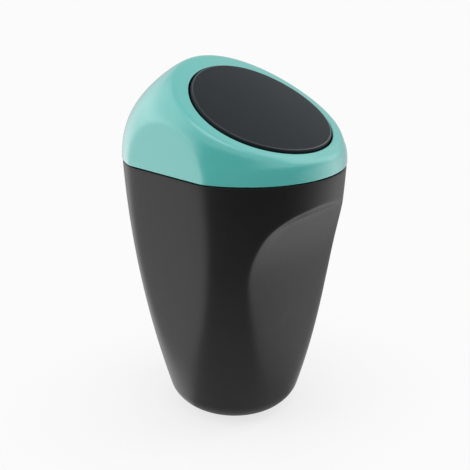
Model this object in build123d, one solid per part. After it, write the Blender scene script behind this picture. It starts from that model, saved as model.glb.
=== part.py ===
from build123d import *
from math import atan, atan2, copysign, cos, exp, hypot, log1p, pi, radians, sin, sqrt, tan
import os

# A small car bin: a tapered bucket, a lift-off lid with a slanted round opening,
# and a sprung flap that is pushed in. Front is -Y, up is +Z, the ground is Z = 0.

# Bucket: an oval form that narrows in a curve towards the base. What fades, leans and
# tapers with the depth is given for one taper_depth below the seam.
seam_height = 156.4
mean_radius = 63.8
taper_depth = 100.0
oval = 3.9
oval_fade = 2.4
front_lean = 1.0
taper = 0.0457
taper_curve = 0.146
base_rounding = 12.4
wall = 2.0
floor_thickness = 2.4

# The two flat sides, drafted in below and above the seam
side_reach = 55.0
side_draft = 0.068
lid_side_draft = 0.041
corner_softness = 1.2

# The hollow in the front: a sloping ledge, a bend, and a face that is nearly upright
ledge_reach = 55.8
ledge_height = 132.8
ledge_slope = 1.234
bend_reach = 45.6
bend_height = 110.2
face_slope = 0.044
ledge_root_radius = 5.0
bend_blend = 18.27
hollow_run_out = 60.0

# Anti-slip pads in pockets under the base
pad_radius = 6.0
pad_thickness = 1.3
pad_standoff = 0.5
pad_circle = 17.5
pad_fit = 0.1
pad_count = 4

# Lid: a dome that leans in to a shoulder around the slanted opening
seam_gap = 0.3
lid_wall = 2.2
opening_tilt = 26.24
opening_forward = 22.3
opening_centre_height = 188.3
opening_radius = 42.1
opening_below_flap = 1.1
crown_radius = 343.0
crown_rise = 1.2
shoulder_width = 11.8
shoulder_shift = 2.6
shoulder_round = 3.3
dome_rise = 22.0
dome_rise_back = 11.9
dome_rise_ends = 0.75
dome_rise_corners = 4.0
dome_lean = 0.013
dome_skew = 0.2
dome_ring_inset = 3.0
dome_end_inset = 8.4

# Collar that plugs the lid into the bucket
plug_depth = 9.0
plug_thickness = 2.0
plug_fit = 0.3
plug_shelf = 2.5

# Flap: a cap over a carrier that closes up against the hinge frame
flap_gap = 1.0
flap_skin = 2.2
flap_skirt = 2.0
flap_edge_radius = 1.6
flange_lap = 1.5
carrier_thickness = 2.0
carrier_lip_height = 2.0
carrier_lip_thickness = 1.6
carrier_lip_fit = 0.3
rib_thickness = 1.6
rib_depth = 2.6
rib_spacing = 20.0
rib_margin = 6.0

# Hinge frame under the lid
frame_drop = 7.0
frame_thickness = 2.0
frame_clearance = 0.4
frame_width = 6.6
frame_to_flap = 0.3
tab_half_width = 20.0
tab_back = 4.0

# Hinge, pin and springs
hinge_back = 5.4
pin_radius = 1.5
pin_clearance = 0.07
pin_head_radius = 2.3
pin_head_length = 0.8
pin_end = 0.6
ear_radius = 4.0
ear_thickness = 2.5
ear_gap = 0.4
ear_to_plate = 1.2
barrel_radius = 3.4
barrel_length = 6.6
barrel_start = 10.0
wire_diameter = 0.75
coil_fit = 0.4
coil_turns = 4
coil_last_part = 0.25
coil_pitch = 1.5
coil_start = 1.5
spring_front_leg = 14.0
spring_top_leg = 5.0
spring_fit = 0.1
spring_hole_fit = 0.25
seat_half_width = 3.2
seat_length = 8.0

# Screws
screw_radius = 1.1
screw_hole_fit = 0.15
screw_head_radius = 2.0
screw_head_height = 1.3
screw_slot_reach = 1.3
screw_slot_width = 0.6
screw_slot_depth = 0.7
screw_tip_gap = 0.4
boss_wall = 2.0
frame_screw_length = 5.5
frame_screw_inset = 2.5
frame_screw_count = 4
flap_screw_length = 7.0
flap_screw_circle = 28.0
flap_screw_count = 3

# How finely the forms are sampled
outline_points = 60
rounding_steps = 5
form_steps = 8
dome_steps = 8
coil_samples = 24

# Worked-out places, in the opening's own frame: x across, y up the slope, z out
opening_plane = Plane(
    origin=(0, -opening_forward, opening_centre_height),
    x_dir=(1, 0, 0),
    z_dir=(0, -sin(radians(opening_tilt)), cos(radians(opening_tilt))),
)
flap_radius = opening_radius - flap_gap
frame_top = -frame_drop
frame_bottom = frame_top - frame_thickness
frame_inner = opening_radius + frame_clearance
frame_outer = frame_inner + frame_width
frame_screw_circle = frame_outer - frame_screw_inset
carrier_top = frame_bottom - frame_to_flap
carrier_bottom = carrier_top - carrier_thickness
flange_radius = frame_inner + flange_lap
hinge_y = flap_radius + hinge_back
hinge_z = carrier_top - barrel_radius
plate_back = hinge_y - ear_radius - ear_to_plate
ear_start = barrel_start + barrel_length + ear_gap
ear_end = ear_start + ear_thickness
coil_radius = pin_radius + coil_fit + wire_diameter / 2
coil_end = coil_turns + coil_last_part
spring_x_end = coil_start + coil_pitch * coil_end
hinge_axis_place = opening_plane.from_local_coords(Vector(0, hinge_y, hinge_z))


def on_opening(shape):
    return opening_plane.location * shape


# The outer form shared by the bucket and the foot of the lid


def soft_limit(value, limit):
    fade = exp(-abs(value - limit) / corner_softness)
    return min(value, limit) - corner_softness * log1p(fade)


def limit_sides(x, height, inset):
    above = height - seam_height
    draft = side_draft * above if above < 0 else -lid_side_draft * above
    return copysign(soft_limit(abs(x), side_reach + draft - inset), x)


def form_radius(turn, height):
    depth = (seam_height - height) / taper_depth
    radius = mean_radius + front_lean * depth * cos(turn)
    radius += (oval - oval_fade * depth) * cos(2 * turn)
    return radius * (1 - taper * depth - taper_curve * depth**2)


def turns():
    return [2 * pi * i / outline_points for i in range(outline_points)]


def closed_wire(points):
    return Wire([Edge.make_spline(points, periodic=True)])


def form_wire(height, inset, rounded_off=0):
    points = []
    for turn in turns():
        radius = form_radius(turn, height) - inset - rounded_off
        x = limit_sides(radius * sin(turn), height, inset)
        points.append((x, -radius * cos(turn), height))
    return closed_wire(points)


def rounded_form(bottom, top, inset, rounding):
    wires = []
    for i in range(rounding_steps + 1):
        swing = pi / 2 * i / rounding_steps
        height = bottom + rounding * (1 - cos(swing))
        wires.append(form_wire(height, inset, rounding * (1 - sin(swing))))
    start = bottom + rounding
    for i in range(1, form_steps + 1):
        wires.append(form_wire(start + (top - start) * i / form_steps, inset))
    return Solid.make_loft(wires)


def form_slice(bottom, top, inset):
    return Solid.make_loft([form_wire(bottom, inset), form_wire(top, inset)])


# Bucket


def front_hollow(grow):
    ledge_step = ledge_reach - bend_reach
    ledge_rise = ledge_height - bend_height
    bend_turn = atan2(ledge_step, ledge_rise) - atan(face_slope)
    # The bend starts bend_blend away from its corner, as far as the ledge's own rounding leaves room
    blend = min(bend_blend, hypot(ledge_step, ledge_rise) - ledge_root_radius)
    bend_radius = blend / tan(abs(bend_turn) / 2)
    ledge_end = (-ledge_reach - ledge_slope * hollow_run_out, ledge_height + hollow_run_out)
    ledge_root = (-ledge_reach, ledge_height)
    bend = (-bend_reach, bend_height)
    face_end = (-bend_reach + face_slope * (bend_height + hollow_run_out), -hollow_run_out)
    face_line = FilletPolyline(
        ledge_end, ledge_root, bend, face_end, radius=(ledge_root_radius, bend_radius)
    )
    far = ledge_end[0] - hollow_run_out
    outside = Polyline(face_end, (far, -hollow_run_out), (far, ledge_end[1]), ledge_end)
    profile = make_face([face_line, outside])
    if grow:
        profile = offset(profile, grow)
    return extrude(Plane.YZ * profile, mean_radius + hollow_run_out, both=True)


def pad_places():
    return PolarLocations(pad_circle, pad_count, start_angle=180 / pad_count)


def make_bucket():
    rim = seam_height - seam_gap
    outside = rounded_form(pad_standoff, rim, 0, base_rounding)
    inside = rounded_form(
        pad_standoff + floor_thickness, rim + wall, wall, base_rounding - wall
    )
    bucket = (outside - front_hollow(0)) - (inside - front_hollow(wall))
    pocket = Cylinder(pad_radius + pad_fit, 2 * (pad_thickness - pad_standoff))
    for place in pad_places():
        bucket -= Pos(0, 0, pad_standoff) * place * pocket
    return bucket


def make_pads():
    pad = Cylinder(
        pad_radius, pad_thickness, align=(Align.CENTER, Align.CENTER, Align.MIN)
    )
    return [place * pad for place in pad_places()]


# Lid


def crown_height(x):
    return crown_rise - x**2 / (2 * crown_radius)


def opening_point(radius, turn, lift):
    x = radius * sin(turn)
    local = Vector(x, -radius * cos(turn), crown_height(x) + lift)
    return opening_plane.from_local_coords(local)


def dome_point(turn, t, inset):
    foot_turn = turn + dome_skew * sin(turn)
    radius = form_radius(foot_turn, seam_height) - inset
    outward = Vector(sin(foot_turn), -cos(foot_turn), 0)
    rise = dome_rise - dome_rise_back * cos(turn)
    rise += dome_rise_ends * cos(2 * turn) + dome_rise_corners * cos(3 * turn)
    reach = opening_radius + shoulder_width - shoulder_shift * cos(turn)
    lift = -opening_below_flap - inset
    foot = outward * radius + Vector(0, 0, seam_height)
    upright = foot + Vector(0, 0, rise) - outward * (dome_lean * rise)
    shoulder = opening_point(reach - inset, turn, lift)
    band = opening_point(reach - shoulder_round - inset, turn, lift)
    point = foot * (1 - t) ** 3 + upright * (3 * t * (1 - t) ** 2)
    point += shoulder * (3 * t**2 * (1 - t)) + band * t**3
    return Vector(limit_sides(point.X, point.Z, inset), point.Y, point.Z)


def dome(inset):
    wires = []
    for i in range(dome_steps + 1):
        t = i / dome_steps
        wires.append(closed_wire([dome_point(turn, t, inset) for turn in turns()]))
    # Two more rings, a crowned one and a flat end, which the opening then cuts away
    lift = -opening_below_flap - inset
    inner_ring = opening_radius - dome_ring_inset
    wires.append(closed_wire([opening_point(inner_ring, turn, lift) for turn in turns()]))
    end_ring = opening_radius - dome_end_inset
    end = [Vector(end_ring * sin(turn), -end_ring * cos(turn), lift) for turn in turns()]
    wires.append(closed_wire([opening_plane.from_local_coords(p) for p in end]))
    return Solid.make_loft(wires, ruled=True)


def frame_screw_places():
    start = 180 / frame_screw_count
    return PolarLocations(frame_screw_circle, frame_screw_count, start_angle=start)


def flap_screw_places():
    return PolarLocations(flap_screw_circle, flap_screw_count, start_angle=90)


def upright_cylinder(radius, bottom, top):
    height = top - bottom
    low = (Align.CENTER, Align.CENTER, Align.MIN)
    return Pos(0, 0, bottom) * Cylinder(radius, height, align=low)


def block(x0, x1, y0, y1, z0, z1):
    centre = Pos((x0 + x1) / 2, (y0 + y1) / 2, (z0 + z1) / 2)
    return centre * Box(x1 - x0, y1 - y0, z1 - z0)


def make_lid():
    lid = dome(0) - dome(lid_wall)
    well = upright_cylinder(opening_radius, frame_bottom, -frame_bottom)
    lid -= on_opening(well)
    shelf_top = seam_height + plug_shelf
    plug_bottom = seam_height - plug_depth
    plug_outer = wall + plug_fit
    plug = form_slice(plug_bottom, shelf_top, plug_outer)
    plug += form_slice(seam_height, shelf_top, lid_wall / 2)
    plug -= form_slice(plug_bottom, shelf_top, plug_outer + plug_thickness)
    lid += plug
    hole_top = frame_bottom + frame_screw_length + screw_tip_gap
    for place in frame_screw_places():
        skin_middle = crown_height(place.position.X) - opening_below_flap - lid_wall / 2
        boss = upright_cylinder(screw_radius + boss_wall, frame_top, skin_middle)
        lid += on_opening(place * boss)
        lid -= on_opening(place * upright_cylinder(screw_radius, frame_top, hole_top))
    return lid


# Hinge frame


def along_x(radius, x0, x1):
    rod = Cylinder(radius, x1 - x0, rotation=(0, 90, 0))
    return Pos((x0 + x1) / 2, hinge_y, hinge_z) * rod


def both_sides(shape):
    return shape, mirror(shape, about=Plane.YZ)


def make_frame():
    tab_end = hinge_y + tab_back
    frame = upright_cylinder(frame_outer, frame_bottom, frame_top)
    frame += block(-tab_half_width, tab_half_width, 0, tab_end, frame_bottom, frame_top)
    ear = along_x(ear_radius, ear_start, ear_end)
    ear_front, ear_back = hinge_y - ear_radius, hinge_y + ear_radius
    ear += block(ear_start, ear_end, ear_front, ear_back, hinge_z, frame_bottom)
    for side in both_sides(ear):
        frame += side
    frame -= upright_cylinder(frame_inner, hinge_z - ear_radius, -frame_bottom)
    frame -= along_x(pin_radius, -ear_end, ear_end)
    leg_hole = upright_cylinder(wire_diameter / 2 + spring_hole_fit, frame_bottom, frame_top)
    for side in both_sides(Pos(spring_x_end, hinge_y + coil_radius, 0) * leg_hole):
        frame -= side
    hole = upright_cylinder(screw_radius + screw_hole_fit, frame_bottom, frame_top)
    for place in frame_screw_places():
        frame -= place * hole
    return on_opening(frame)


# Screws, with a cross recess in the head


def make_screw(length):
    screw = upright_cylinder(screw_radius, 0, length)
    head = upright_cylinder(screw_head_radius, -screw_head_height, 0)
    rim = head.edges().group_by(Axis.Z)[0]
    screw += fillet(rim, screw_head_height / 2)
    slot_top = screw_slot_depth - screw_head_height
    arm, half = screw_slot_reach, screw_slot_width / 2
    for turn in (0, 90):
        slot = block(-arm, arm, -half, half, -screw_head_height, slot_top)
        screw -= Rot(0, 0, turn) * slot
    return screw


def make_screws(places, length, seat):
    screw = Pos(0, 0, seat) * make_screw(length)
    return Compound([on_opening(place * screw) for place in places])


# Flap


def crown_block(skin):
    barrel = Cylinder(crown_radius - skin, 4 * opening_radius, rotation=(90, 0, 0))
    return Pos(0, 0, crown_rise - crown_radius) * barrel


def make_flap_cover():
    above = crown_rise + flap_skin
    cover = upright_cylinder(flap_radius, carrier_top, above) & crown_block(0)
    rim = cover.edges().filter_by(lambda e: e.center().Z > carrier_bottom / 2)
    cover = fillet(rim.filter_by(lambda e: e.length > flap_radius), flap_edge_radius)
    hollow_radius = flap_radius - flap_skirt
    hollow = upright_cylinder(hollow_radius, carrier_top, above) & crown_block(flap_skin)
    cover -= hollow
    hole_top = carrier_bottom + flap_screw_length + screw_tip_gap
    for place in flap_screw_places():
        skin_middle = crown_height(place.position.X) - flap_skin / 2
        cover += place * upright_cylinder(screw_radius + boss_wall, carrier_top, skin_middle)
        cover -= place * upright_cylinder(screw_radius, carrier_top, hole_top)
    return on_opening(cover)


def make_carrier():
    plate = upright_cylinder(flange_radius, carrier_bottom, carrier_top)
    far = 2 * flange_radius
    plate -= block(-far, far, plate_back, far, 2 * carrier_bottom, 0)
    lip_outer = flap_radius - flap_skirt - carrier_lip_fit
    lip_top = carrier_top + carrier_lip_height
    lip = upright_cylinder(lip_outer, carrier_top, lip_top)
    lip -= upright_cylinder(lip_outer - carrier_lip_thickness, carrier_top, lip_top)
    carrier = plate + lip
    rib_bottom = carrier_bottom - rib_depth
    half = rib_thickness / 2
    ribs = block(-far, far, -half, half, rib_bottom, carrier_bottom)
    trim = upright_cylinder(flange_radius - rib_margin, rib_bottom, carrier_bottom)
    for shift in (-rib_spacing, rib_spacing):
        carrier += (Pos(0, shift, 0) * ribs) & trim
        carrier += (Pos(shift, 0, 0) * Rot(0, 0, 90) * ribs) & trim
    barrel_end = barrel_start + barrel_length
    arm_front = plate_back - barrel_length
    arm = block(barrel_start, barrel_end, arm_front, hinge_y, carrier_bottom, carrier_top)
    arm += along_x(barrel_radius, barrel_start, barrel_end)
    for side in both_sides(arm):
        carrier += side
    seat_bottom = hinge_z - coil_radius + wire_diameter / 2 + spring_fit
    seat_front = hinge_y - spring_front_leg
    seat_back = seat_front + seat_length
    carrier += block(
        -seat_half_width, seat_half_width, seat_front, seat_back, seat_bottom, carrier_bottom
    )
    carrier -= along_x(pin_radius + pin_clearance, -barrel_end, barrel_end)
    hole = upright_cylinder(screw_radius + screw_hole_fit, carrier_bottom, carrier_top)
    for place in flap_screw_places():
        carrier -= place * hole
    return on_opening(carrier)


# Hinge pin and the two torsion springs


def make_pin():
    pin = along_x(pin_radius, -ear_end, ear_end + pin_end)
    pin += along_x(pin_head_radius, -ear_end - pin_head_length, -ear_end)
    return on_opening(pin)


def coil_point(turn):
    x = coil_start + coil_pitch * turn
    swing = 2 * pi * turn - pi / 2
    return Vector(x, hinge_y + coil_radius * cos(swing), hinge_z + coil_radius * sin(swing))


def coil_direction(turn):
    swing = 2 * pi * turn - pi / 2
    around = 2 * pi * coil_radius
    return Vector(coil_pitch, -around * sin(swing), around * cos(swing)).normalized()


def biarc(start, leave, end, arrive):
    chord = end - start
    both = leave + arrive
    slope = chord.dot(both)
    square = 2 * (1 - leave.dot(arrive))
    reach = (sqrt(slope**2 + square * chord.dot(chord)) - slope) / square
    joint = (start + leave * reach + end - arrive * reach) * 0.5
    first = Edge.make_tangent_arc(start, leave, joint)
    second = Edge.make_tangent_arc(joint, first % 1, end)
    return [first, second]


def make_spring():
    steps = round(4 * coil_end)
    places = [i / 4 for i in range(steps + 1)]
    directions = [coil_direction(turn) for turn in places]
    directions[0], directions[-1] = Vector(0, 1, 0), Vector(0, 0, 1)
    front = coil_point(0) - Vector(0, spring_front_leg, 0)
    top = coil_point(coil_end) + Vector(0, 0, spring_top_leg)
    edges = [Edge.make_line(front, coil_point(0))]
    for i in range(steps):
        start, end = coil_point(places[i]), coil_point(places[i + 1])
        edges += biarc(start, directions[i], end, directions[i + 1])
    edges.append(Edge.make_line(coil_point(coil_end), top))
    path = Wire(edges)
    section = Plane(origin=front, z_dir=(0, 1, 0)) * Circle(wire_diameter / 2)
    samples = [coil_point(i / coil_samples) for i in range(int(coil_samples * coil_end) + 1)]
    pairs = [(a, b) for i, a in enumerate(samples) for b in samples[i + coil_samples // 2 :]]
    gap = min((a - b).length for a, b in pairs) - wire_diameter
    print(f"torsion spring: least gap to itself {gap:.2f} mm")
    return sweep(section, path=path)


def main():
    os.makedirs("parts", exist_ok=True)
    right_spring = make_spring()
    nodes = {
        "bucket": make_bucket(),
        "lid_shell": make_lid(),
        "hinge_frame": make_frame(),
        "frame_screws": make_screws(frame_screw_places(), frame_screw_length, frame_bottom),
        "flap_cover": make_flap_cover(),
        "flap_carrier": make_carrier(),
        "flap_screws": make_screws(flap_screw_places(), flap_screw_length, carrier_bottom),
        "hinge_pin": make_pin(),
        "spring_right": on_opening(right_spring),
        "spring_left": on_opening(mirror(right_spring, about=Plane.YZ)),
    }
    for number, pad in enumerate(make_pads(), 1):
        nodes[f"base_pad_{number}"] = pad
    for name, shape in nodes.items():
        export_step(shape, f"parts/{name}.step")
    print("hinge axis at", [round(v, 3) for v in hinge_axis_place])


main()
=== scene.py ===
from math import cos, pi, radians, sin
import bpy
import numpy as np
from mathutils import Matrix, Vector


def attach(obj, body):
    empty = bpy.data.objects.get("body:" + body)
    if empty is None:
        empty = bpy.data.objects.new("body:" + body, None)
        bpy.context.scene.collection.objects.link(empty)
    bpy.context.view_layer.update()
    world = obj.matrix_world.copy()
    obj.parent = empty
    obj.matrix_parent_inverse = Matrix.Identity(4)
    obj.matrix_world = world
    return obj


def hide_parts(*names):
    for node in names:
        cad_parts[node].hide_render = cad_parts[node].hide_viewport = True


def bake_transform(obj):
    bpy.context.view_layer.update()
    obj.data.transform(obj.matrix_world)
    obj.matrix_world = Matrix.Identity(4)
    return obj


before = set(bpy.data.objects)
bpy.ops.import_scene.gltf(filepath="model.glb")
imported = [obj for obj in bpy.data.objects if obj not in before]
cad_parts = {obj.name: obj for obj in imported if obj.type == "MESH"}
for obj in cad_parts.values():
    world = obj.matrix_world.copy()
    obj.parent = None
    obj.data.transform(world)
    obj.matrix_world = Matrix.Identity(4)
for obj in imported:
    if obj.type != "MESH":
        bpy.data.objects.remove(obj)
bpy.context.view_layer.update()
mm = 0.001  # the forms below are worked out in millimetres
print("frame loaded")


# Shader maths: a wrapped socket takes part in ordinary expressions

class Sock:
    def __init__(self, tree, socket):
        self.tree, self.socket = tree, socket

    def __add__(self, other):
        return self.tree.math("ADD", self, other)

    def __radd__(self, other):
        return self.tree.math("ADD", other, self)

    def __sub__(self, other):
        return self.tree.math("SUBTRACT", self, other)

    def __rsub__(self, other):
        return self.tree.math("SUBTRACT", other, self)

    def __mul__(self, other):
        return self.tree.math("MULTIPLY", self, other)

    def __rmul__(self, other):
        return self.tree.math("MULTIPLY", other, self)

    def smooth(self, low, high):  # 0 below low, 1 above high
        inputs = {"Value": self, "From Min": low, "From Max": high}
        return self.tree.node("ShaderNodeMapRange", {"interpolation_type": "SMOOTHSTEP"}, inputs)


class Shader:
    def __init__(self, owner):
        owner.use_nodes = True
        self.nodes, self.links = owner.node_tree.nodes, owner.node_tree.links
        self.nodes.clear()

    def node(self, kind, settings=None, inputs=None, output=0):
        # inputs is a list, in the sockets' order, or a dictionary by name or place
        made = self.nodes.new(kind)
        for name, value in (settings or {}).items():
            setattr(made, name, value)
        pairs = enumerate(inputs) if isinstance(inputs, list) else (inputs or {}).items()
        for key, value in pairs:
            if isinstance(value, Sock):
                self.links.new(value.socket, made.inputs[key])
            else:
                made.inputs[key].default_value = value
        return Sock(self, made.outputs[output]) if made.outputs else None

    def math(self, operation, a, b):
        return self.node("ShaderNodeMath", {"operation": operation}, [a, b])

    def vector(self, operation, inputs):
        return self.node("ShaderNodeVectorMath", {"operation": operation}, inputs)

    def measure(self, operation, inputs):  # the vector operations that give a number
        return self.node("ShaderNodeVectorMath", {"operation": operation}, inputs, "Value")

    def ray(self, kind):
        return self.node("ShaderNodeLightPath", output=f"Is {kind} Ray")

    def place(self):
        return self.node("ShaderNodeTexCoord", output="Object")

    def noise(self, scale, detail, roughness=0.5):
        inputs = {"Vector": self.place(), "Scale": scale, "Detail": detail, "Roughness": roughness}
        return self.node("ShaderNodeTexNoise", {}, inputs)

    def mixColour(self, factor, first, second):
        inputs = {0: factor, 6: (*first, 1), 7: (*second, 1)}  # the colour sockets of a Mix node
        return self.node("ShaderNodeMix", {"data_type": "RGBA"}, inputs, output=2)

    def bump(self, height):  # the height is in millimetres
        return self.node("ShaderNodeBump", {}, {"Height": height, "Distance": mm, "Strength": 1.0})

    def principled(self, inputs):
        self.surface(self.node("ShaderNodeBsdfPrincipled", {}, inputs))

    def surface(self, shader):
        self.node("ShaderNodeOutputMaterial", {}, {"Surface": shader})


def newMaterial(name):
    material = bpy.data.materials.new(name)
    return material, Shader(material)


# Moulded plastic: a fine moulded grain, a slower sink in the wall, handling marks that change the gloss

moulded = {
    "patchDetail": 4.0, "patchFade": (0.3, 0.7), "markDetail": 6.0, "markRoughness": 0.62,
    "markFade": (0.56, 0.74), "grainDetail": 2.0, "sinkDetail": 1.0,
}


def plastic(name, look, edgeShare=None):
    m = moulded
    material, tree = newMaterial(name)
    patches = tree.noise(look["patchScale"], m["patchDetail"])
    marks = tree.noise(look["markScale"], m["markDetail"], m["markRoughness"]).smooth(*m["markFade"])
    grain = tree.noise(look["grainScale"], m["grainDetail"])
    sink = tree.noise(look["sinkScale"], m["sinkDetail"])
    inputs = {
        "Base Color": tree.mixColour(patches.smooth(*m["patchFade"]), look["colour"], look["colour2"]),
        "Roughness": look["roughness"] + (patches - 0.5) * look["roughnessVary"] - marks * look["markGloss"],
        "Normal": tree.bump(grain * look["grainDepth"] + sink * look["sinkDepth"]),
        **look["fixed"],
    }
    if edgeShare:  # hands and the mould polish the edge
        inputs["Coat Weight"] = edgeShare(tree) * look["edgeCoat"]
    tree.principled(inputs)
    return material


# Drawn or turned steel: fine streaks and a slow tarnish

drawn = {
    "streakDetail": 5.0, "streakRoughness": 0.7, "tarnishSize": 9, "tarnishDetail": 3.0,
    "tarnishFade": (0.4, 0.75),
}


def metal(name, look):
    d = drawn
    material, tree = newMaterial(name)
    streaks = tree.noise(look["streakScale"], d["streakDetail"], d["streakRoughness"])
    tarnish = tree.noise(look["streakScale"] / d["tarnishSize"], d["tarnishDetail"]).smooth(*d["tarnishFade"])
    tree.principled({
        "Base Color": tree.mixColour(tarnish, look["colour"], look["colour2"]),
        "Roughness": look["roughness"] + streaks * look["roughnessVary"],
        "Normal": tree.bump(streaks * look["grainDepth"]),
        "Metallic": 1.0,
    })
    return material


tealLook = {
    "colour": (0.08, 0.455, 0.42), "colour2": (0.077, 0.447, 0.413), "patchScale": 24.0,
    "roughness": 0.17, "roughnessVary": 0.02, "markScale": 60.0, "markGloss": 0.0,
    "grainScale": 900.0, "grainDepth": 0.0006, "sinkScale": 14.0, "sinkDepth": 0.0,
    "fixed": {"Coat Weight": 0.5, "Coat Roughness": 0.1, "IOR": 1.9},
}
blackLook = {
    "colour": (0.0098, 0.0099, 0.0102), "colour2": (0.0115, 0.0115, 0.0116), "patchScale": 30.0,
    "roughness": 0.41, "roughnessVary": 0.06, "markScale": 60.0, "markGloss": 0.06,
    "grainScale": 3600.0, "grainDepth": 0.02, "sinkScale": 40.0, "sinkDepth": 0.03,
    "fixed": {"Specular IOR Level": 0.34},
}
flapLook = {
    "colour": (0.0135, 0.0185, 0.022), "colour2": (0.0155, 0.0195, 0.023), "patchScale": 36.0,
    "roughness": 0.38, "roughnessVary": 0.06, "markScale": 60.0, "markGloss": 0.06,
    "grainScale": 3600.0, "grainDepth": 0.015, "sinkScale": 40.0, "sinkDepth": 0.02,
    "fixed": {"Specular IOR Level": 0.1, "Coat Roughness": 0.12}, "edgeCoat": 1.0,
}
rubberLook = {
    "colour": (0.012, 0.012, 0.012), "colour2": (0.02, 0.02, 0.019), "patchScale": 90.0,
    "roughness": 0.8, "roughnessVary": 0.1, "markScale": 200.0, "markGloss": 0.0,
    "grainScale": 2500.0, "grainDepth": 0.05, "sinkScale": 200.0, "sinkDepth": 0.02,
    "fixed": {"Specular IOR Level": 0.3},
}
screwLook = {
    "colour": (0.42, 0.42, 0.43), "colour2": (0.3, 0.29, 0.27), "streakScale": 900.0,
    "roughness": 0.28, "roughnessVary": 0.15, "grainDepth": 0.01,
}
pinLook = dict(screwLook, colour=(0.55, 0.55, 0.56), roughness=0.18)
springLook = dict(screwLook, colour=(0.28, 0.28, 0.29), colour2=(0.2, 0.19, 0.18), roughness=0.3)

teal = plastic("teal_plastic", tealLook)
black = plastic("black_plastic", blackLook)
rubber = plastic("pad_rubber", rubberLook)
screwSteel = metal("screw_steel", screwLook)
pinSteel = metal("pin_steel", pinLook)
springSteel = metal("spring_steel", springLook)
print("materials made")


# The oval form that the bucket and the foot of the lid share. What fades, leans and tapers
# with the depth is given for one taperDepth below the seam.

form = {
    "seam": 156.4, "mean": 63.8, "taperDepth": 100, "oval": 3.9, "ovalFade": 2.4, "lean": 1.0,
    "taper": 0.0457, "taperCurve": 0.146, "sideReach": 54.99, "sideDraft": 0.068, "lidDraft": 0.02,
    "softness": 0.75, "lidSoftness": 0.35,
}


def softLimit(value, limit, softness):
    return np.minimum(value, limit) - softness * np.log1p(np.exp(-np.abs(value - limit) / softness))


def limitSides(x, z, inset):
    # The two flat sides, drafted in below and above the seam
    above = z - form["seam"]
    draft = np.where(above < 0, form["sideDraft"] * above, -form["lidDraft"] * above)
    softness = np.where(above < 0, form["softness"], form["lidSoftness"])
    return np.sign(x) * softLimit(np.abs(x), form["sideReach"] + draft - inset, softness)


def formRadius(turn, z):
    depth = (form["seam"] - z) / form["taperDepth"]
    radius = form["mean"] + form["lean"] * depth * np.cos(turn)
    radius = radius + (form["oval"] - form["ovalFade"] * depth) * np.cos(2 * turn)
    return radius * (1 - form["taper"] * depth - form["taperCurve"] * depth ** 2)


def smoothStep(value, low, high):
    share = np.clip((value - low) / (high - low), 0, 1)
    return share * share * (3 - 2 * share)


def spreadTurns(count, density):
    even = np.arange(count) * 2 * pi / count
    return even - density * np.sin(even)  # closer together at the front


def grid(rows, closeLoop=False, capStart=False, capEnd=False):
    # Rows run along the section, columns round the turn; the turn always closes
    rows = np.asarray(rows)
    count, around = rows.shape[:2]
    points = list(map(tuple, rows.reshape(-1, 3) * mm))
    faces = []
    for i in range(count if closeLoop else count - 1):
        j = (i + 1) % count
        for k in range(around):
            n = (k + 1) % around
            faces.append((i * around + k, i * around + n, j * around + n, j * around + k))
    for wanted, row, flip in ((capStart, 0, True), (capEnd, count - 1, False)):
        if wanted:
            points.append(tuple(rows[row].mean(0) * mm))
            for k in range(around):
                a, b = row * around + k, row * around + (k + 1) % around
                faces.append((len(points) - 1, b, a) if flip else (len(points) - 1, a, b))
    return points, faces


def makePiece(name, grids, material, body, replaced):
    points, faces = [], []
    for gridPoints, gridFaces in grids:
        start = len(points)
        points += gridPoints
        faces += [tuple(corner + start for corner in face) for face in gridFaces]
    mesh = bpy.data.meshes.new(name)
    mesh.from_pydata(points, [], faces)
    mesh.update()
    mesh.polygons.foreach_set("use_smooth", [True] * len(mesh.polygons))
    mesh.materials.append(material)
    piece = bpy.data.objects.new(name, mesh)
    bpy.context.scene.collection.objects.link(piece)
    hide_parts(replaced)
    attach(piece, body)


# Bucket: the oval form with a hollow in its front, under a sloping ledge

bucket = {
    "base": 0.5, "rimGap": 0.3, "wall": 2.0, "floor": 2.4, "rounding": 12.4, "rimRadius": 0.7,
    "ledgeReach": 55.8, "ledgeHeight": 132.8, "ledgeSlope": 1.234, "bendReach": 45.6, "bendHeight": 110.2,
    "faceSlope": 0.044, "rootSoft": 0.8, "rootSoftEnds": 2.4, "rootEnds": (14.0, 30.0), "bendSoft": 3.0,
    "slopeStep": 0.01, "roundingAtHollow": 0.3,
    "crispEdge": 0.45, "softEdge": 1.5, "crispAbove": 122.0, "softBelow": 70.0,
    "columns": 420, "frontDensity": 0.4, "floorShares": (0.15, 0.4, 0.7, 0.9), "roundingRows": 18,
    "lowRows": (14, 96, 1.4), "hollowRows": (96, 146, 0.7), "topRows": (146.5, 1.0, 1.5), "rimRows": 5,
    "innerRows": (2, 3.0), "innerRoundingRows": 8, "innerFloorShares": (0.7, 0.3),
}


def hollowReach(z, across, grow):
    # How far the hollow's face stands in front of the middle; its root softens towards the two ends
    b = bucket
    midSlope = (b["ledgeReach"] - b["bendReach"]) / (b["ledgeHeight"] - b["bendHeight"])
    ends = smoothStep(np.abs(across), *b["rootEnds"])
    rootSoft = b["rootSoft"] + (b["rootSoftEnds"] - b["rootSoft"]) * ends

    def profile(height):
        low = b["bendReach"] + b["faceSlope"] * (height - b["bendHeight"])
        mid = b["bendReach"] + midSlope * (height - b["bendHeight"])
        high = b["ledgeReach"] + b["ledgeSlope"] * (height - b["ledgeHeight"])
        face = -softLimit(-low, -mid, b["bendSoft"])
        return -softLimit(-face, -high, rootSoft)

    step = b["slopeStep"]
    slope = (profile(z + step) - profile(z - step)) / (2 * step)
    return profile(z) - grow * np.sqrt(1 + slope ** 2)


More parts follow.
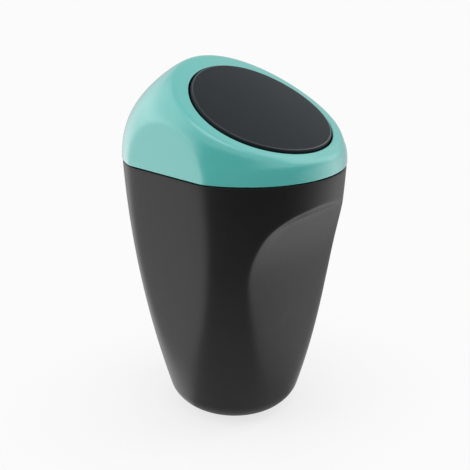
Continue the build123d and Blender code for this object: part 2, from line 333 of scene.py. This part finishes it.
def formRow(turns, z, inset, pulledIn=0.0, share=1.0):
    # One ring of the bucket: inset is the wall, pulledIn the rounding, share shrinks it for the floor
    b = bucket
    radius = formRadius(turns, z) - inset - pulledIn
    x = limitSides(radius * np.sin(turns), z, inset)
    y = -radius * np.cos(turns)
    softer = 1 - smoothStep(z, b["softBelow"], b["crispAbove"])
    edge = b["crispEdge"] + (b["softEdge"] - b["crispEdge"]) * softer
    y = -softLimit(-y, hollowReach(z, x, inset) - pulledIn * b["roundingAtHollow"], edge)
    return np.stack([x * share, y * share, np.full_like(x, z)], 1)


def makeBucket():
    b = bucket
    turns = spreadTurns(b["columns"], b["frontDensity"])
    rim = form["seam"] - b["rimGap"]
    rows = [formRow(turns, b["base"], 0, b["rounding"], share) for share in b["floorShares"]]
    for swing in np.linspace(0, pi / 2, b["roundingRows"]):
        z = b["base"] + b["rounding"] * (1 - cos(swing))
        rows.append(formRow(turns, z, 0, b["rounding"] * (1 - sin(swing))))
    topStart, topClear, topStep = b["topRows"]
    top = np.arange(topStart, rim - topClear, topStep)
    for z in np.concatenate([np.arange(*b["lowRows"]), np.arange(*b["hollowRows"]), top]):
        rows.append(formRow(turns, z, 0))
    r = b["rimRadius"]
    for swing in np.linspace(0, pi / 2, b["rimRows"]):
        rows.append(formRow(turns, rim - r + r * sin(swing), r * (1 - cos(swing))))
    for swing in np.linspace(pi / 2, 0, b["rimRows"]):
        rows.append(formRow(turns, rim - r + r * sin(swing), b["wall"] - r * (1 - cos(swing))))
    floorTop = b["base"] + b["floor"]
    inner = b["rounding"] - b["wall"]
    innerClear, innerStep = b["innerRows"]
    for z in np.arange(rim - innerClear, floorTop + inner, -innerStep):
        rows.append(formRow(turns, z, b["wall"]))
    for swing in np.linspace(pi / 2, 0, b["innerRoundingRows"]):
        z = floorTop + inner * (1 - cos(swing))
        rows.append(formRow(turns, z, b["wall"], inner * (1 - sin(swing))))
    rows += [formRow(turns, floorTop, b["wall"], inner, share) for share in b["innerFloorShares"]]
    shell = grid(rows, capStart=True, capEnd=True)
    makePiece("bucket_shell", [shell], black, "bucket_body", "bucket")


# Lid: a dome that leans in to the shoulder round the slanted opening, and a plug that fits the bucket

lid = {
    "wall": 2.2, "tilt": 26.24, "forward": 22.3, "centreHeight": 188.3, "openingRadius": 42.1,
    "belowFlap": 1.1, "crownRadius": 343.0, "crownRise": 1.2, "edgeRadius": 0.6,
    "shoulder": 11.0, "shoulderShift": 3.4, "shoulderSides": 3.0, "shoulderDrop": 1.6,
    "shoulderDropFront": 0.2, "band": 5.3, "bandFront": 1.6, "bandBack": 10.9, "frontSpread": 8,
    "backSpread": 4, "rise": 22.6, "riseFront": -4.0, "riseBack": 11.9, "riseEnds": 0.75,
    "riseCorners": 4.0, "lean": 0.013, "skew": 0.2, "footRadius": 0.6, "footLift": 0.35, "overhang": 0.35,
    "plugDepth": 9.0, "plugWall": 2.0, "plugFit": 0.3, "plugShelf": 2.5,
    "shelfStep": 0.1, "shelfEdge": 0.3, "plugInnerEdge": 0.4, "plugOuterEdge": 0.6, "plugMiddle": 2,
    "footEdge": 0.2, "underEdge": 0.2,
    "columns": 480, "frontDensity": 0.1, "footRows": 4, "domeRows": (0.05, 0.95, 58), "domeLast": 0.975,
    "bandShares": (0.85, 0.7, 0.5, 0.3, 0.15), "edgeRows": 7, "underShares": (0.35, 0.7, 0.9),
    "innerRows": (1, 0.12, 26),
}
tilt = radians(lid["tilt"])
openingOrigin = np.array([0, -lid["forward"], lid["centreHeight"]])
upSlope = np.array([0, cos(tilt), sin(tilt)])
outward = np.array([0, -sin(tilt), cos(tilt)])


def fromOpening(x, y, z):
    across = np.multiply.outer(x, [1.0, 0, 0]) + np.multiply.outer(y, upSlope)
    return openingOrigin + across + np.multiply.outer(z, outward)


def crownHeight(x):
    return lid["crownRise"] - x ** 2 / (2 * lid["crownRadius"])


def openingRow(turns, radius, lift, crowned=1.0):
    # One ring about the opening's axis; lift counts from the crowned face, or from the plane if crowned is 0
    x = radius * np.sin(turns)
    return fromOpening(x, -radius * np.cos(turns), crowned * crownHeight(x) + lift)


def frontShare(turns):  # 1 at the front, where the ridge fades into a soft roll
    return (0.5 + 0.5 * np.cos(turns)) ** lid["frontSpread"]


def backShare(turns):  # 1 at the back, where the band widens
    return (0.5 - 0.5 * np.cos(turns)) ** lid["backSpread"]


def bandWidth(turns):
    front = (lid["bandFront"] - lid["band"]) * frontShare(turns)
    return lid["band"] + front + (lid["bandBack"] - lid["band"]) * backShare(turns)


def overhang(foot):  # the lid stands a little proud of the bucket at its four corners
    return lid["overhang"] * np.sin(2 * foot) ** 2


def skewed(turns):  # where on the oval foot the dome's sections start
    return turns + lid["skew"] * np.sin(turns)


def domeRow(turns, t, inset):
    # One ring of the dome, which is a cubic curve in each section: t is 0 at the foot and 1 at the band
    foot = skewed(turns)
    radius = formRadius(foot, form["seam"]) - inset + overhang(foot)
    out = np.stack([np.sin(foot), -np.cos(foot), np.zeros_like(foot)], 1)
    rise = lid["rise"] - lid["riseBack"] * np.cos(turns)
    rise = rise + lid["riseEnds"] * np.cos(2 * turns) + lid["riseCorners"] * np.cos(3 * turns)
    rise = rise + lid["riseFront"] * frontShare(turns) ** 2
    drop = lid["shoulderDrop"] + (lid["shoulderDropFront"] - lid["shoulderDrop"]) * frontShare(turns)
    drop = drop * (1 - backShare(turns))
    reach = lid["openingRadius"] + lid["shoulder"] - lid["shoulderShift"] * np.cos(turns)
    reach = reach + lid["shoulderSides"] * np.sin(turns) ** 2
    lift = -lid["belowFlap"] - inset
    start = out * radius[:, None] + [0, 0, form["seam"]]
    upright = start + rise[:, None] * [0, 0, 1] - out * (lid["lean"] * rise)[:, None]
    shoulder = openingRow(turns, reach - inset, lift - drop)
    band = openingRow(turns, lid["openingRadius"] + bandWidth(turns) - inset, lift)
    row = start * (1 - t) ** 3 + upright * 3 * t * (1 - t) ** 2
    row = row + shoulder * 3 * t ** 2 * (1 - t) + band * t ** 3
    row[:, 0] = limitSides(row[:, 0], row[:, 2], inset)
    return row


def seamRow(turns, z, inset):
    # One level ring of the foot or the plug
    radius = formRadius(turns, min(z, form["seam"])) - inset + overhang(turns)
    x = limitSides(radius * np.sin(turns), z, inset)
    return np.stack([x, -radius * np.cos(turns), np.full_like(turns, z)], 1)


def makeLid():
    d = lid
    turns = spreadTurns(d["columns"], d["frontDensity"])
    footTurns = skewed(turns)
    seam, r, wall = form["seam"], d["footRadius"], d["wall"]
    foot = seam + d["footLift"]
    rows = []
    for swing in np.linspace(pi / 2, 0, d["footRows"]):
        rows.append(seamRow(footTurns, foot + r - r * sin(swing), r * (1 - cos(swing))))
    for t in np.append(np.linspace(*d["domeRows"]), d["domeLast"]):
        rows.append(domeRow(turns, t, 0))
    lift, under = -d["belowFlap"], -d["belowFlap"] - wall
    opening, edge, band = d["openingRadius"], d["edgeRadius"], bandWidth(turns)
    for share in d["bandShares"]:
        rows.append(openingRow(turns, opening + edge + (band - edge) * share, lift))
    for swing in np.linspace(0, pi / 2, d["edgeRows"]):
        rows.append(openingRow(turns, opening + edge * (1 - sin(swing)), lift - edge * (1 - cos(swing))))
    rows.append(openingRow(turns, opening, under + d["underEdge"]))
    rows.append(openingRow(turns, opening + d["underEdge"], under))
    for share in d["underShares"]:
        rows.append(openingRow(turns, opening + (band - wall) * share, under))
    rows += [domeRow(turns, t, wall) for t in np.linspace(*d["innerRows"])]
    plugOuter = bucket["wall"] + d["plugFit"]
    plugInner = plugOuter + d["plugWall"]
    shelf, bottom = seam + d["plugShelf"], seam - d["plugDepth"]
    innerEdge, outerEdge, footEdge = d["plugInnerEdge"], d["plugOuterEdge"], d["footEdge"]
    plug = [
        (shelf, wall + d["shelfStep"]), (shelf, plugInner - d["shelfEdge"]),
        (shelf - d["shelfEdge"], plugInner), (seam, plugInner), (bottom + innerEdge, plugInner),
        (bottom, plugInner - innerEdge), (bottom, plugOuter + outerEdge),
        (bottom + outerEdge, plugOuter), (seam - d["plugMiddle"], plugOuter),
        (foot - footEdge, plugOuter), (foot, plugOuter - footEdge),
    ]
    rows += [seamRow(footTurns, z, inset) for z, inset in plug]
    b = bosses
    posts = makeBosses(b["lidCircle"], b["lidCount"], b["lidStart"], b["lidBottom"], lift)
    makePiece("lid_dome", [grid(rows, closeLoop=True), *posts], teal, "lid_body", "lid_shell")


# Bosses that the screws bite into, in the opening's own frame

bosses = {
    "radius": 3.1, "bore": 1.1, "round": 0.4, "columns": 32, "boreDepth": 4.0, "intoSkin": 2.0,
    "lidCircle": 46.6, "lidCount": 4, "lidStart": 45, "lidBottom": -7.0,
    "flapCircle": 28.0, "flapCount": 3, "flapStart": 90, "flapBottom": -9.3,
}


def makeBosses(circle, count, start, bottom, skinTop):
    b = bosses
    around = np.arange(b["columns"]) * 2 * pi / b["columns"]
    made = []
    for k in range(count):
        angle = radians(start + 360 * k / count)
        x, y = circle * cos(angle), circle * sin(angle)
        top = crownHeight(x) + skinTop - b["intoSkin"]
        profile = [
            (b["radius"], top), (b["radius"], bottom + b["round"]), (b["radius"] - b["round"], bottom),
            (b["bore"], bottom), (b["bore"], bottom + b["boreDepth"]),
        ]
        rows = []
        for r, z in profile:
            height = np.full_like(around, z)
            rows.append(fromOpening(x + r * np.cos(around), y - r * np.sin(around), height))
        made.append(grid(rows, capStart=True, capEnd=True))
    return made


# Flap cover: the crowned disc that fills the opening

flap = {
    "gap": 1.0, "skin": 2.2, "skirt": 2.0, "edgeRadius": 1.1, "bottom": -9.3, "skirtEdge": 0.3, "root": 0.8,
    "polishFade": 0.2, "polishWidth": 0.4,
    "columns": 240, "faceShares": (0.04, 0.15, 0.3, 0.5, 0.7, 0.85, 0.95, 0.985), "edgeRows": 9,
    "hollowShares": (0.8, 0.4, 0.05),
}


def flapEdge(tree):
    # 1 where the disc's rounded edge starts, and 0 on its face and its side
    local = tree.vector("SUBTRACT", [tree.place(), tuple(openingOrigin * mm)])
    height = tree.measure("DOT_PRODUCT", [local, tuple(outward)])
    rise = tree.vector("SCALE", {0: tuple(outward), "Scale": height})
    radius = tree.measure("LENGTH", [tree.vector("SUBTRACT", [local, rise])])
    edge = (lid["openingRadius"] - flap["gap"] - flap["edgeRadius"]) * mm
    fade, width = flap["polishFade"] * mm, flap["polishWidth"] * mm
    return radius.smooth(edge - fade, edge) * (1 - radius.smooth(edge + width, edge + width + fade))


flapBlack = plastic("flap_plastic", flapLook, flapEdge)


def makeFlap():
    f = flap
    turns = np.arange(f["columns"]) * 2 * pi / f["columns"]
    radius, r = lid["openingRadius"] - f["gap"], f["edgeRadius"]
    hollow, edge, root = radius - f["skirt"], f["skirtEdge"], f["root"]
    rows = [openingRow(turns, (radius - r) * share, 0) for share in f["faceShares"]]
    for swing in np.linspace(0, pi / 2, f["edgeRows"]):
        rows.append(openingRow(turns, radius - r * (1 - sin(swing)), -r * (1 - cos(swing))))
    skirt = [(radius, edge), (radius - edge, 0), (hollow + edge, 0), (hollow, edge)]
    rows += [openingRow(turns, reach, f["bottom"] + lift, 0) for reach, lift in skirt]
    rows.append(openingRow(turns, hollow, -f["skin"] - root))
    rows.append(openingRow(turns, hollow - root, -f["skin"]))
    rows += [openingRow(turns, hollow * share, -f["skin"]) for share in f["hollowShares"]]
    b = bosses
    posts = makeBosses(b["flapCircle"], b["flapCount"], b["flapStart"], b["flapBottom"], 0)
    disc = grid(rows, capStart=True, capEnd=True)
    makePiece("flap_disc", [disc, *posts], flapBlack, "flap_body", "flap_cover")


makeBucket()
print("bucket made")
makeLid()
print("lid made")
makeFlap()
print("flap made")


# The other pieces keep their own shape and get a better finish

finishes = {
    "hinge_frame": black, "flap_carrier": black, "hinge_pin": pinSteel,
    "frame_screws": screwSteel, "flap_screws": screwSteel,
    "base_pad_1": rubber, "base_pad_2": rubber, "base_pad_3": rubber, "base_pad_4": rubber,
}
for name, finish in finishes.items():
    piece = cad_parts[name]
    piece.data.materials.clear()
    piece.data.materials.append(finish)
print("frame pieces finished")


# The springs keep their shape too, as steel-finished copies that stand in for their own nodes

springs = {"nodes": ("spring_left", "spring_right"), "behind": 0.5, "ahead": 2.6}


def makeSprings():
    for name in springs["nodes"]:
        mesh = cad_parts[name].data.copy()
        mesh.materials.clear()
        mesh.materials.append(springSteel)
        piece = bpy.data.objects.new(name + "_coil", mesh)
        bpy.context.scene.collection.objects.link(piece)
        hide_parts(name)
        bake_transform(piece)


makeSprings()
print("springs made")


# Floor, surroundings and lights: a pale sweep with a dark side in front, as in a light tent.
# Turns, heights and spreads are in degrees, and the dark limits count from the dark side's middle.
# highFrom and highTo are the upward part of a direction, and the other reaches are in metres.

stage = {
    "floorSize": 12.0, "floorShade": 0.9, "cameraWhite": 0.965, "shadowReach": 0.22, "shadowShare": 0.25,
    "darkTurn": 247.0, "darkFloor": (-85.0, -60.0, 18.0, 84.0), "darkAround": (-88.0, -62.0, 25.0, 95.0),
    "brightGlossy": 1.35, "darkGlossy": 0.08, "overhead": 0.62, "highFrom": 0.25, "highTo": 0.62,
    "nearFloor": 0.4, "nearFrom": 0.08, "nearTo": 0.3, "brightFill": 0.83, "darkFill": 0.5,
    "lampSize": 0.6, "lampAim": (0, 0, 0.15),
}
shade = (30.0, 0.0, 20.0, 60.0, 0.75)  # a darker patch behind: turn, height, narrow, wide, strength
glows = {  # soft lights that only show in reflections, given in the same way
    "left": (118, 42, 10, 42, 0.6),
    "top": (225, 82, 8, 20, 0.9),
    "right": (-22, 42, 6, 34, 0.65),
}
lamps = {  # place and power; they stay out of reflections
    "left_box": ((-0.66, 0.34, 0.72), 2.0),
    "right_box": ((0.58, -0.45, 0.68), 2.0),
    "top_box": ((-0.1, -0.1, 1.05), 2.2),
}


def sideShare(tree, direction, leftWide, leftNarrow, rightNarrow, rightWide):
    # 1 at the sides and the back, 0 towards the dark front
    turn = radians(stage["darkTurn"])
    ahead = tree.measure("DOT_PRODUCT", [direction, (cos(turn), sin(turn), 0)])
    beside = tree.measure("DOT_PRODUCT", [direction, (-sin(turn), cos(turn), 0)])
    off = tree.math("ARCTAN2", beside, ahead)
    left = (0 - off).smooth(radians(-leftNarrow), radians(-leftWide))
    right = off.smooth(radians(rightNarrow), radians(rightWide))
    return tree.math("MAXIMUM", left, right)


def glow(tree, direction, turn, height, narrow, wide, strength):
    # A round patch that is full within the narrow angle and fades out at the wide one
    turn, height = radians(turn), radians(height)
    aim = (cos(turn) * cos(height), sin(turn) * cos(height), sin(height))
    towards = tree.measure("DOT_PRODUCT", [direction, aim])
    return towards.smooth(cos(radians(wide)), cos(radians(narrow))) * strength


def mirroredLevel(tree, direction, sides):
    # What a glossy surface sees of the sweep, on the floor and around
    span = stage["brightGlossy"] - stage["darkGlossy"]
    return stage["darkGlossy"] + sides * span - glow(tree, direction, *shade)


def makeFloor():
    s = stage
    half = s["floorSize"] / 2
    corners = [(-half, -half, 0), (half, -half, 0), (half, half, 0), (-half, half, 0)]
    mesh = bpy.data.meshes.new("floor")
    mesh.from_pydata(corners, [], [(0, 1, 2, 3)])
    floor = bpy.data.objects.new("floor", mesh)
    bpy.context.scene.collection.objects.link(floor)
    material, tree = newMaterial("pale_floor")
    place = tree.place()
    away = tree.measure("LENGTH", [place])
    lit = tree.node("ShaderNodeBsdfDiffuse", {}, {"Color": (s["floorShade"],) * 3 + (1,)})
    white = tree.node("ShaderNodeEmission", {}, {"Strength": s["cameraWhite"]})
    near = (1 - away.smooth(s["nearFrom"], s["nearTo"])) * s["nearFloor"]
    sides = tree.math("MAXIMUM", near, sideShare(tree, place, *s["darkFloor"]))
    mirrored = mirroredLevel(tree, tree.vector("NORMALIZE", [place]), sides)
    sweep = tree.node("ShaderNodeEmission", {}, {"Color": mirrored})
    shadow = (1 - away.smooth(0.0, s["shadowReach"])) * s["shadowShare"]
    seen = tree.node("ShaderNodeMixShader", {}, [tree.ray("Camera") * (1 - shadow), lit, white])
    reflected = tree.math("MAXIMUM", tree.ray("Glossy"), tree.ray("Transmission"))
    tree.surface(tree.node("ShaderNodeMixShader", {}, [reflected, seen, sweep]))
    mesh.materials.append(material)


def makeWorld():
    s = stage
    world = bpy.data.worlds.new("surroundings")
    bpy.context.scene.world = world
    tree = Shader(world)
    camera, glossy = tree.ray("Camera"), tree.ray("Glossy")
    direction = tree.node("ShaderNodeTexCoord", output="Generated")
    sides = sideShare(tree, direction, *s["darkAround"])
    height = tree.node("ShaderNodeSeparateXYZ", {}, [direction], output="Z")
    above = height.smooth(s["highFrom"], s["highTo"])
    mirrored = mirroredLevel(tree, direction, sides) * (1 - above) + above * s["overhead"]
    for spot in glows.values():
        mirrored = mirrored + glow(tree, direction, *spot)
    fill = s["darkFill"] + sides * (s["brightFill"] - s["darkFill"])
    others = glossy * mirrored + (1 - glossy) * fill
    level = camera * s["cameraWhite"] + (1 - camera) * others
    background = tree.node("ShaderNodeBackground", {}, {"Color": level})
    tree.node("ShaderNodeOutputWorld", {}, {"Surface": background})


def makeLamps():
    for name, (place, power) in lamps.items():
        light = bpy.data.lights.new(name, "AREA")
        light.shape, light.size, light.energy = "DISK", stage["lampSize"], power
        lamp = bpy.data.objects.new(name, light)
        lamp.location = place
        lamp.visible_glossy = False
        towards = Vector(stage["lampAim"]) - Vector(place)
        lamp.rotation_euler = towards.to_track_quat("-Z", "Y").to_euler()
        bpy.context.scene.collection.objects.link(lamp)


makeFloor()
makeWorld()
makeLamps()
bpy.context.scene.view_settings.view_transform = "Standard"
print("stage lit")


# Camera at the photograph's place

view = {
    "aim": (0.00109, -0.00059, 0.10785), "back": (-0.6918, -0.6358, 0.3427), "distance": 0.4691,
    "focalPixels": 778.3, "picturePixels": 470, "filmWidth": 36.0, "clipStart": 0.01,
}


def makeCamera():
    v = view
    data = bpy.data.cameras.new("camera")
    data.sensor_width = v["filmWidth"]
    data.lens = v["filmWidth"] * v["focalPixels"] / v["picturePixels"]
    data.clip_start = v["clipStart"]
    camera = bpy.data.objects.new("camera", data)
    back = Vector(v["back"]).normalized()
    camera.location = Vector(v["aim"]) + back * v["distance"]
    camera.rotation_euler = (-back).to_track_quat("-Z", "Y").to_euler()
    bpy.context.scene.collection.objects.link(camera)
    bpy.context.scene.camera = camera


makeCamera()
print("camera placed")
